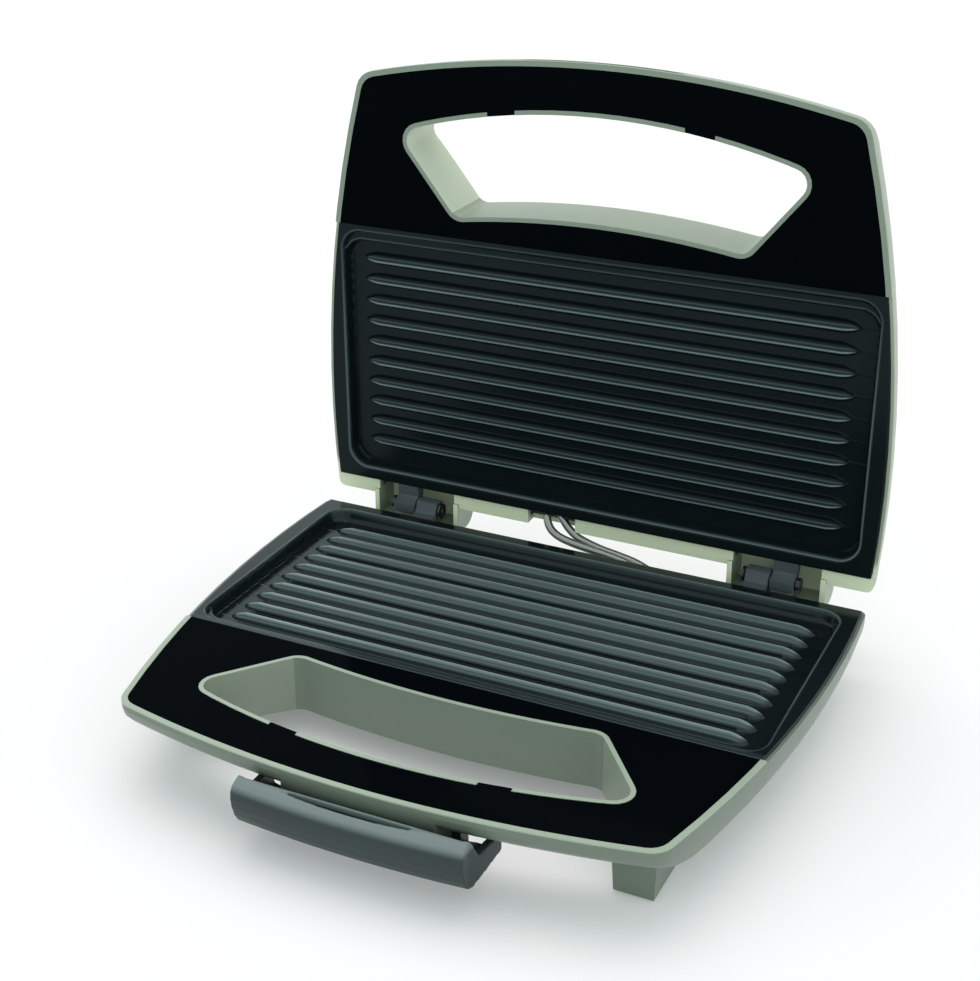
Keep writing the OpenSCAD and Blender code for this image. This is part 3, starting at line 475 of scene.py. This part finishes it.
# Both grill plates, in mm: the outline, the pocket and its ledge, the ribs and their tips, the skirt below,
# and the lugs, whose bracket is in y and z of the hinge frame.
plateSpec = {
    "length": 119.5, "flange": 2.6, "inset": 1.5, "halfWidth": 127.0, "sideRadius": 518.0, "widestY": 40.0,
    "pocketHalf": 118.0, "pocketRear": 5.8, "pocketFront": 2.6, "corner": 9.0, "depth": 5.5,
    "ledge": 4.0, "ledgeDepth": 2.4, "rimStart": 0.25, "rimRun": 1.5, "bedStart": 0.3, "bedRun": 1.6,
    "ribs": 10, "pitch": 9.5, "ribRadius": 2.6, "ribRise": 3.0, "ribHalf": 109.6, "ribTip": 7.0,
    "widthPower": 0.75, "liftPower": 0.4, "tipDrop": 0.4, "leastRadius": 0.02, "flankSlope": 2.0,
    "fillet": 0.5,
    "edge": 0.5, "edgeTurns": (0.4, 0.8, 1.2, math.pi / 2), "foot": 0.3,
    "pan": 7.3, "panWall": 1.2, "panOutset": 0.6,
    "eye": 4.2, "eyeTurn": (112.0, -100.0), "eyePoints": 40, "eyePower": 0.6,
    "bracket": ((4.0, -5.5), (0.5, -5.5), (-3.5, -5.5), (-3.5, -0.6), (-1.0, -0.3), (4.5, -0.1), (6.0, 2.6)),
    "lugEdge": 0.5, "lugBeyond": 0.6, "smoothAngle": 50}

# The grid of a plate's face: columns as shares of the half width, close at the rib tips, and rows in mm from
# the rear.
plateGrid = {"tipShare": 0.765, "tipColumns": 61, "middleShare": 0.74, "middleColumns": 32,
             "rearRows": 6, "wallsFrom": 5.0, "ribsFrom": 15.0, "ribsTo": 107.5,
             "wallStep": 0.45, "ribStep": 0.3, "lastGap": 0.2}


# A cubic that eases from 0 to 1.
def smoothStep(t):
    t = np.clip(t, 0.0, 1.0)
    return t * t * (3.0 - 2.0 * t)


# The larger of two heights, with a fillet of about k between them.
def smoothMax(a, b, k):
    h = np.clip(0.5 + 0.5 * (a - b) / k, 0.0, 1.0)
    return b + (a - b) * h + k * h * (1.0 - h)


# Distance inside a rounded rectangle's edge, positive inside.
def roundedBoxDistance(x, y, half, y0, y1, corner):
    middle, halfY = (y0 + y1) / 2.0, (y1 - y0) / 2.0
    qx = np.abs(x) - (half - corner)
    qy = np.abs(y - middle) - (halfY - corner)
    outside = np.hypot(np.maximum(qx, 0.0), np.maximum(qy, 0.0))
    return corner - outside - np.minimum(np.maximum(qx, qy), 0.0)


# How far a point lies inside the pocket's rim and inside its bed behind the ledge, and the rim's front.
def pocketPlace(x, y, s):
    front, rear = -s["length"] + s["pocketFront"], -s["pocketRear"]
    rim = roundedBoxDistance(x, y, s["pocketHalf"], front, rear, s["corner"])
    bed = roundedBoxDistance(x, y, s["pocketHalf"], front + s["ledge"], rear, s["corner"])
    return rim, bed, front


# Distance from the nearest rib's axis, how full the rib is, from 0 at its tip to 1, and its radius there, by
# a sine of that fullness raised to a power below one.
def ribPlace(x, y, s):
    middle = -(s["length"] - s["pocketFront"] + s["pocketRear"]) / 2.0
    row = np.clip(np.round((y - middle) / s["pitch"] + (s["ribs"] - 1) / 2.0), 0, s["ribs"] - 1)
    away = y - middle - (row - (s["ribs"] - 1) / 2.0) * s["pitch"]
    full = np.clip((s["ribHalf"] - np.abs(x)) / s["ribTip"], 0.0, 1.0)
    radius = s["ribRadius"] * np.sin(full * math.pi / 2.0) ** s["widthPower"] + s["leastRadius"]
    return away, full, radius


# Flange at zero, a walled pocket with a ledge along its front, and a row of round ribs with tapered tips.
def plateHeight(x, y, s):
    rim, bed, front = pocketPlace(x, y, s)
    z = -s["ledgeDepth"] * smoothStep((rim + s["rimStart"]) / s["rimRun"])
    z = z - (s["depth"] - s["ledgeDepth"]) * smoothStep((bed - s["bedStart"]) / s["bedRun"])
    away, full, radius = ribPlace(x, y, s)
    axis = -s["depth"] + s["ribRise"] - s["ribRadius"]
    lift = np.sqrt(np.maximum(1.0 - (away / radius) ** 2, 0.0)) * s["ribRadius"] * full ** s["liftPower"]
    rib = axis + lift - s["tipDrop"] * (1.0 - full)
    rib = rib - s["flankSlope"] * np.maximum(np.abs(away) - radius, 0.0)
    return smoothMax(z, rib, s["fillet"])


# The plate's face as a height over its outline, whose sides are wide arcs, a rounded edge that turns down
# round it, and a flat pan below.
def plateSkin(s, g):
    last = s["length"] - s["edge"]
    tip = np.linspace(g["tipShare"], 1.0, g["tipColumns"])
    middle = np.linspace(-g["middleShare"], g["middleShare"], g["middleColumns"])
    share = np.concatenate([-tip[::-1], middle, tip])
    ys = np.concatenate([np.linspace(s["edge"], g["wallsFrom"], g["rearRows"])[:-1],
                         np.arange(g["wallsFrom"], g["ribsFrom"], g["wallStep"]),
                         np.arange(g["ribsFrom"], g["ribsTo"], g["ribStep"]),
                         np.arange(g["ribsTo"], last - g["lastGap"], g["wallStep"]), [last]])
    y = -ys[:, None] * np.ones_like(share)[None, :]
    arc = np.sqrt((s["sideRadius"] - s["inset"]) ** 2 - (y + s["widestY"]) ** 2)
    x = share[None, :] * (s["halfWidth"] - s["sideRadius"] + arc - s["edge"])
    z = plateHeight(x, y, s)
    rows, columns = x.shape
    face = np.stack([x, y, z], -1).reshape(-1, 3)
    ring = np.concatenate([np.arange(columns), np.arange(1, rows) * columns + columns - 1,
                           (rows - 1) * columns + np.arange(columns - 2, -1, -1),
                           np.arange(rows - 2, 0, -1) * columns])
    edge = face[ring]
    along = (np.roll(edge, -1, 0) - np.roll(edge, 1, 0))[:, :2]
    along /= np.linalg.norm(along, axis=1, keepdims=True)
    outward = np.stack([-along[:, 1], along[:, 0], np.zeros(len(edge))], -1)
    outward *= np.sign(np.sum(outward * (edge - face.mean(0))))
    steps = [(s["edge"] * math.sin(t), -s["edge"] * (1 - math.cos(t))) for t in s["edgeTurns"]]
    steps += [(s["edge"], -s["flange"] + s["foot"]), (s["edge"] - s["foot"], -s["flange"])]
    layers = [edge] + [edge + outward * out + np.array([0.0, 0.0, down]) for out, down in steps]
    panHalf = s["pocketHalf"] + s["panOutset"]
    panFront, panRear = -s["length"] + s["pocketFront"] - s["panWall"], -s["pocketRear"] + s["panWall"]
    panX, panY = np.clip(edge[:, 0], -panHalf, panHalf), np.clip(edge[:, 1], panFront, panRear)
    layers += [np.column_stack([panX, panY, np.full(len(edge), -depth)])
               for depth in (s["flange"], s["pan"])]
    layers += [np.tile([0.0, -s["length"] / 2.0, -s["pan"]], (len(edge), 1))]
    skirt = gridFaces(len(layers), len(edge), closed=True)[:, ::-1] + len(face)
    return np.concatenate([face] + layers), np.concatenate([gridFaces(rows, columns), skirt])


# An outline in y and z carried along x, drawn in a little at both ends and closed on its middle there.
def sweptBar(outline, x0, x1, edge):
    outline = np.asarray(outline, float)
    middle = outline.mean(0)
    near, end, shoulder = edge * 0.3, 1.0 - edge / 4.0, 1.0 - edge / 12.0
    stations = [(x0, 0.0), (x0, end), (x0 + near, shoulder), (x0 + edge, 1.0),
                (x1 - edge, 1.0), (x1 - near, shoulder), (x1, end), (x1, 0.0)]
    rings = [np.column_stack([np.full(len(outline), x), middle + (outline - middle) * k])
             for x, k in stations]
    return np.concatenate(rings), gridFaces(len(rings), len(outline), closed=True)


# A squarish eye round the pin, whose sine and cosine are raised to a power below one, and the bracket.
def lugOutline(s):
    turn = np.radians(np.linspace(*s["eyeTurn"], s["eyePoints"]))
    across, up = np.cos(turn), np.sin(turn)
    eye = np.column_stack([hingeY + s["eye"] * np.sign(across) * np.abs(across) ** s["eyePower"],
                           hingeZ + s["eye"] * np.sign(up) * np.abs(up) ** s["eyePower"]])
    return np.concatenate([eye, s["bracket"]])


# Where both plates carry a painted highlight, in mm and as shares: how soft the crest's two sides are and
# how wide its line, the line along the pocket's rim, fainter at the front, the ledge's line, and the bed,
# which stays dark.
highlightSpec = {"crestSide": 0.3, "footSide": 0.25, "lineWidth": 0.12, "tipGain": 2.0,
            "rimAt": -0.3, "rimWidth": 0.36, "rimShare": 0.2, "rimGain": 0.3, "rimReach": 60.0,
            "ledgeAt": -0.1, "ledgeWidth": 0.25, "ledgeShare": 0.24, "ledgeReach": 9.0, "overBed": 0.2}


# A bell curve, 1 at the middle.
def bell(value, middle, width):
    return np.exp(-((value - middle) / width) ** 2)


# How strongly the coating is painted pale as a painted highlight, which stands for the sky's reflection on
# the round ribs. Across a rib, in shares of its radius, it starts at the crest's edge, fades down one flank
# by an exponential and ends at a stop, with a thin bell-shaped line beside it. The pocket's rim and ledge
# have bell-shaped painted highlight lines of their own.
def plateHighlight(x, y, z, s, w, crest):
    away, full, radius = ribPlace(x, y, s)
    away = away / radius
    pale = smoothStep((crest["edge"] - away) / w["crestSide"])
    pale = pale * np.exp(np.minimum(away - crest["fadeFrom"], 0.0) * crest["fade"])
    pale = pale * smoothStep((away - crest["stop"]) / w["footSide"])
    thin = crest["lineShare"] * bell(away, crest["line"], w["lineWidth"])
    rim, bed, front = pocketPlace(x, y, s)
    border = bell(rim, w["rimAt"], w["rimWidth"])
    border = border * (w["rimShare"] + w["rimGain"] * smoothStep((y - front) / w["rimReach"]))
    ledge = w["ledgeShare"] * bell(bed, w["ledgeAt"], w["ledgeWidth"]) * (y < front + w["ledgeReach"])
    ribs = (pale + thin) * smoothStep(full * w["tipGain"])
    return np.maximum(ribs, np.maximum(border, ledge)) * (z > -s["depth"] - w["overBed"])


# The rearmost y of each face, from all its corners at once.
def faceRear(mesh, spots):
    corners, starts = np.empty(len(mesh.loops), np.int32), np.empty(len(mesh.polygons), np.int32)
    mesh.loops.foreach_get("vertex_index", corners)
    mesh.polygons.foreach_get("loop_start", starts)
    return np.maximum.reduceat(spots[corners, 1], starts)


# The grill plate with its two lugs, whose faces take the plainer cast finish.
def addPlate(name, node, body, lid, lugX, finish, crest):
    points, faces = plateSkin(plateSpec, plateGrid)
    for side in (-1, 1):
        x0, x1 = sorted((side * lugX[0], side * lugX[1]))
        lugPoints, lugFaces = sweptBar(lugOutline(plateSpec), x0, x1, plateSpec["lugEdge"])
        faces = np.concatenate([faces, lugFaces + len(points)])
        points = np.concatenate([points, lugPoints])
    if lid:
        points = toLid(points)
    piece = addMesh(name, toRow(points), faces, plateSpec["smoothAngle"])
    dress(piece, finish, body, "nonstick_aluminium", node)
    piece.data.materials.append(materials["lugCasting"])
    spots = np.empty(len(piece.data.vertices) * 3)
    piece.data.vertices.foreach_get("co", spots)
    spots = fromRow(spots)
    if lid:
        spots = toLid(spots)
    # The painted highlight, per point, along the rib crests and the pocket's rim and ledge.
    paintedHighlight = piece.data.attributes.new("plateHighlight", "FLOAT", "POINT")
    paintedHighlight.data.foreach_set("value", plateHighlight(*spots.T, plateSpec, highlightSpec, crest))
    isLug = faceRear(piece.data, spots) > plateSpec["lugBeyond"]
    piece.data.polygons.foreach_set("material_index", isLug.astype(np.int32))
    piece.data.update()


# The crest numbers place each plate's painted highlight on its ribs.
addPlate("basePlate", "base_plate", "base", False, (72.5, 82.7), "nonStickBase",
         {"edge": 0.95, "fadeFrom": 0.0, "fade": 3.3, "stop": -0.9, "line": -0.79, "lineShare": 0.42})
addPlate("lidPlate", "lid_plate", "lid", True, (83.3, 93.5), "nonStickLid",
         {"edge": 0.6, "fadeFrom": 0.3, "fade": 11.0, "stop": -1.0, "line": -0.35, "lineShare": 0.2})
print("grill plates made")


# Edge radii and the latch's cells in mm, the handle opening in mm from the hinge frame's zero, and how far a
# normal points along x on the opening's ends, along z on its walls at most, and along z on facing faces.
casingSpec = {"edge": 0.45, "edgeSteps": 3, "panelEdge": 0.3, "latchCell": 0.4, "latchRounds": 6,
              "openingHalf": 95.0, "openingRear": 120.0, "openingFront": 185.0, "openingMiddle": 152.0,
              "endNormal": 0.6, "wallNormal": 0.4, "facingNormal": 0.5}


# Lit and shaded copies of the sage by place, as painted light and shade: for the faces that line the handle
# opening, which look towards its middle, for its two ends and for the faces that look at the other half.
def casingFaces(piece, lid, s, lining, ends, facing):
    faces = piece.data.polygons
    places, normals = np.empty(len(faces) * 3), np.empty(len(faces) * 3)
    faces.foreach_get("center", places)
    faces.foreach_get("normal", normals)
    places, normals = fromRow(places), normals.reshape(-1, 3)
    if lid:
        places = toLid(places)
        normals = normals[:, [0, 2, 1]] * np.array([1.0, -1.0, -1.0])
    x, y = places[:, 0], places[:, 1]
    inward = normals[:, 0] * x + normals[:, 1] * (y + s["openingMiddle"]) < 0.0
    lines = (np.abs(x) < s["openingHalf"]) & (y < -s["openingRear"]) & (y > -s["openingFront"]) & inward
    lines &= np.abs(normals[:, 2]) < s["wallNormal"]
    index = np.where(normals[:, 2] > s["facingNormal"], facing, 0)
    index = np.where(lines, np.where(np.abs(normals[:, 0]) > s["endNormal"], ends, lining), index)
    faces.foreach_set("material_index", index.astype(np.int32))
    piece.data.update()


# The numbers are places in the list of the casing's finishes, 0 for the main one; all are one sage, painted
# lighter or darker as light and shade.
casings = [dict(node="base_casing", name="baseCasing", body="base", lining=1, ends=2, facing=0,
                finishes=("sageBase", "sageBaseLining", "sageBaseLiningEnd")),
           dict(node="lid_casing", name="lidCasing", body="lid", lining=0, ends=1, facing=2,
                finishes=("sageLid", "sageLidLiningEnd", "sageLidFace"))]
for spec in casings:
    casing = softCopy(spec["node"], spec["name"], casingSpec["edge"], segments=casingSpec["edgeSteps"])
    dress(casing, spec["finishes"][0], spec["body"], "sage_plastic", spec["node"])
    for extra in spec["finishes"][1:]:
        casing.data.materials.append(materials[extra])
    casingFaces(casing, spec["body"] == "lid", casingSpec, spec["lining"], spec["ends"], spec["facing"])
for node, name, body in (("base_panel", "basePanel", "base"), ("lid_panel", "lidPanel", "lid")):
    panel = softCopy(node, name, casingSpec["panelEdge"])
    dress(panel, "pianoBlack", body, "gloss_black_plastic", node)
latch = mergedCopy("latch", "latchGrip", dissolve=False)
latch = moulded(latch, casingSpec["latchCell"], casingSpec["latchRounds"])
dress(latch, "latchPlastic", "latch", "grey_plastic", "latch")
print("casings, panels and latch made")


# Small parts keep their CAD form and get a rounded edge: node, name, body, edge in mm, finish, slot.
smallParts = [("foot_pads", "footPads", "base", 0.4, "softRubber", "rubber"),
              ("cord_inlet", "cordInlet", "base", 0.4, "softRubber", "rubber"),
              ("latch_pin", "latchPin", "base", 0.25, "darkSteel", "steel"),
              ("left_hinge_pin", "leftHingePin", "base", 0.25, "darkSteel", "steel"),
              ("right_hinge_pin", "rightHingePin", "base", 0.25, "darkSteel", "steel"),
              ("hinge_washers", "hingeWashers", "base", 0.1, "darkSteel", "steel"),
              ("base_panel_screws", "basePanelScrews", "base", 0.15, "brightSteel", "steel"),
              ("lid_panel_screws", "lidPanelScrews", "lid", 0.15, "brightSteel", "steel"),
              ("power_lens", "powerLens", "lid", 0.3, "redLens", "red_lens"),
              ("ready_lens", "readyLens", "lid", 0.3, "redLens", "red_lens")]
for node, name, body, edge, finish, slot in smallParts:
    dress(softCopy(node, name, edge), finish, body, slot, node)
print("small parts made")


# The two flying leads, in mm of the hinge frame: the route from the base's clip to the lid's connector, and
# between which two places the lead bends with the lid.
leadSpec = {"radius": 1.8, "sides": 24, "steps": 10, "sideHint": (0.3, 0.5, 1.0), "smoothAngle": 60}
leads = {
    "liveLead": dict(
        node="live_lead", bendStart=(-7.0, 8.0, -1.4), bendEnd=(-16.0, 9.3, 2.0),
        route=[(34, -6, -12), (33, -1.5, -9.5), (30, 2.4, -7.2), (25, 4.4, -5.2), (18, 5.6, -3.7),
               (10, 6.4, -2.7), (2, 7.0, -2), (-6, 7.6, -1.1), (-13, 8.4, 0.3), (-17.4, 9.4, 2.6),
               (-19.8, 11.0, 5.8), (-20.5, 13.4, 8.8), (-20.6, 16.4, 11), (-20.6, 20, 12)]),
    "neutralLead": dict(
        node="neutral_lead", bendStart=(-1.0, 10.3, -2.2), bendEnd=(-9.8, 11.5, 3.4),
        route=[(38.5, -6, -12), (37.6, -1, -9.6), (35, 3.6, -8.0), (30, 6.8, -6.4), (23, 9.0, -5),
               (15, 10.0, -3.9), (7, 10.5, -2.9), (0, 10.9, -1.4), (-5.6, 11.3, 0.5), (-9.8, 11.8, 3.4),
               (-12.8, 12.6, 6.6), (-14.8, 14.1, 9.2), (-15.8, 16.6, 11), (-16.2, 20, 12)])}


# A Catmull-Rom curve through the route's points.
def smoothPath(route, steps):
    p = np.asarray(route, float)
    p = np.concatenate([p[:1], p, p[-1:]])
    t = (np.arange(steps) / steps)[:, None, None]
    p0, p1, p2, p3 = p[:-3], p[1:-2], p[2:-1], p[3:]
    q = 0.5 * (2 * p1 + (p2 - p0) * t + (2 * p0 - 5 * p1 + 4 * p2 - p3) * t ** 2
               + (3 * p1 - p0 - 3 * p2 + p3) * t ** 3)
    return np.concatenate([q.transpose(1, 0, 2).reshape(-1, 3), p[-1:]])


# A round tube: circles square to the path, drawn to a point at both ends.
def tubeAlong(path, radius, sides, sideHint):
    along = np.gradient(path, axis=0)
    along /= np.linalg.norm(along, axis=1, keepdims=True)
    side = np.cross(along, np.array(sideHint))
    side /= np.linalg.norm(side, axis=1, keepdims=True)
    up = np.cross(along, side)
    turn = np.linspace(0.0, 2.0 * math.pi, sides, endpoint=False)[None, :, None]
    rings = path[:, None, :] + radius * (np.cos(turn) * side[:, None, :] + np.sin(turn) * up[:, None, :])
    rings = np.concatenate([path[:1, None, :].repeat(sides, 1), rings, path[-1:, None, :].repeat(sides, 1)])
    return rings.reshape(-1, 3), gridFaces(len(rings), sides, closed=True)


for name, spec in leads.items():
    path = smoothPath(spec["route"], leadSpec["steps"])
    points, faces = tubeAlong(path, leadSpec["radius"], leadSpec["sides"], leadSpec["sideHint"])
    lead = addMesh(name, toRow(points), faces, leadSpec["smoothAngle"])
    dress(lead, "leadSleeve", None, "steel", spec["node"])
    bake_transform(lead)
print("leads made")

bpy.context.view_layer.update()
